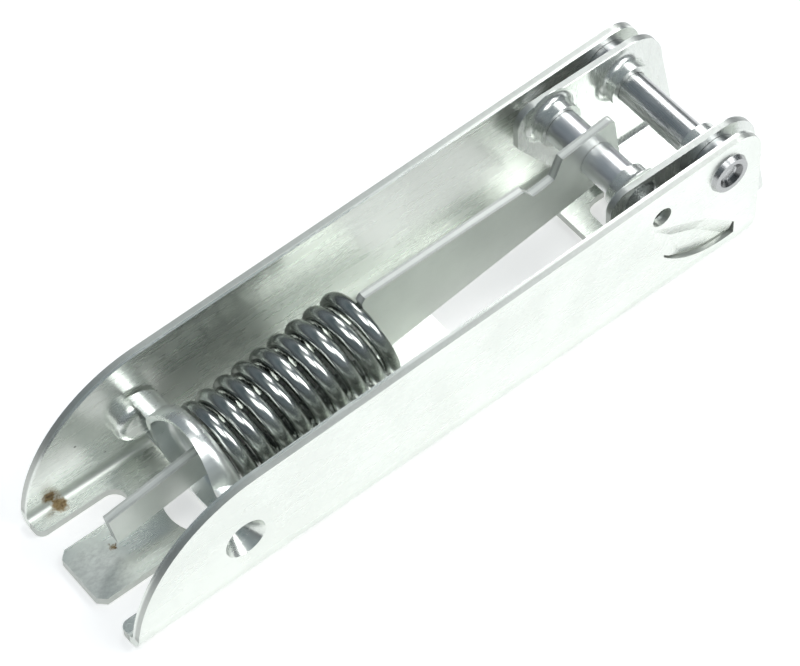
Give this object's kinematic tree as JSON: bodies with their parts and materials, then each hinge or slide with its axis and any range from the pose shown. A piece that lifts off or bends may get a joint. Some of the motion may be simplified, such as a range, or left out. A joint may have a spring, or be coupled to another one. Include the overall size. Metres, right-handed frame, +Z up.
{
  "type": "spring hinge",
  "caption": "Zinc-plated steel spring hinge: a folded channel, a riveted lever bracket, and a stamped rod with a compression spring that bears on a rocking saddle.",
  "frame": {"origin": "underside of the channel's base, at mid length and mid width", "axes": "+X along the channel from its forked nose to the lever, +Y across it towards the wall that lies behind in the picture, +Z up from the base"},
  "size_m": [0.1248, 0.0316, 0.0276],
  "materials": {
    "zinc_sheet": "satin",
    "bright_pin": "satin",
    "spring_wire": "glossy"
  },
  "bodies": {
    "frame": {"channel": "zinc_sheet", "pivot_pin": "bright_pin", "washer_near": "zinc_sheet", "washer_far": "zinc_sheet"},
    "lever": {"lever_bracket": "zinc_sheet", "roller_pin": "bright_pin", "spacer_tube_near": "bright_pin", "spacer_tube_far": "bright_pin"},
    "rod": {"push_rod": "zinc_sheet", "spring": "spring_wire"},
    "saddle": {"spring_saddle": "zinc_sheet"}
  },
  "joints": [
    {"name": "lever_pivot", "type": "hinge", "parent": "frame", "child": "lever", "pos_m": [0.05325, 0, 0.0198], "axis": [0, -1, 0], "range_deg": [0, 50], "stiffness_Nm_per_rad": 0.02, "springref_deg": -28.65},
    {"name": "rod_pivot", "type": "hinge", "parent": "lever", "child": "rod", "pos_m": [0.039, 0, 0.0213], "axis": [0, -1, 0], "range_deg": [-60, 0]},
    {"name": "saddle_rock", "type": "hinge", "parent": "frame", "child": "saddle", "pos_m": [-0.03965, 0, 0.0102], "axis": [0, -1, 0], "range_deg": [-9, 0]}
  ],
  "couplings": [
    {"joint": "rod_pivot", "follows": "lever_pivot", "ratio": -1.163},
    {"joint": "saddle_rock", "follows": "lever_pivot", "ratio": -0.163}
  ]
}
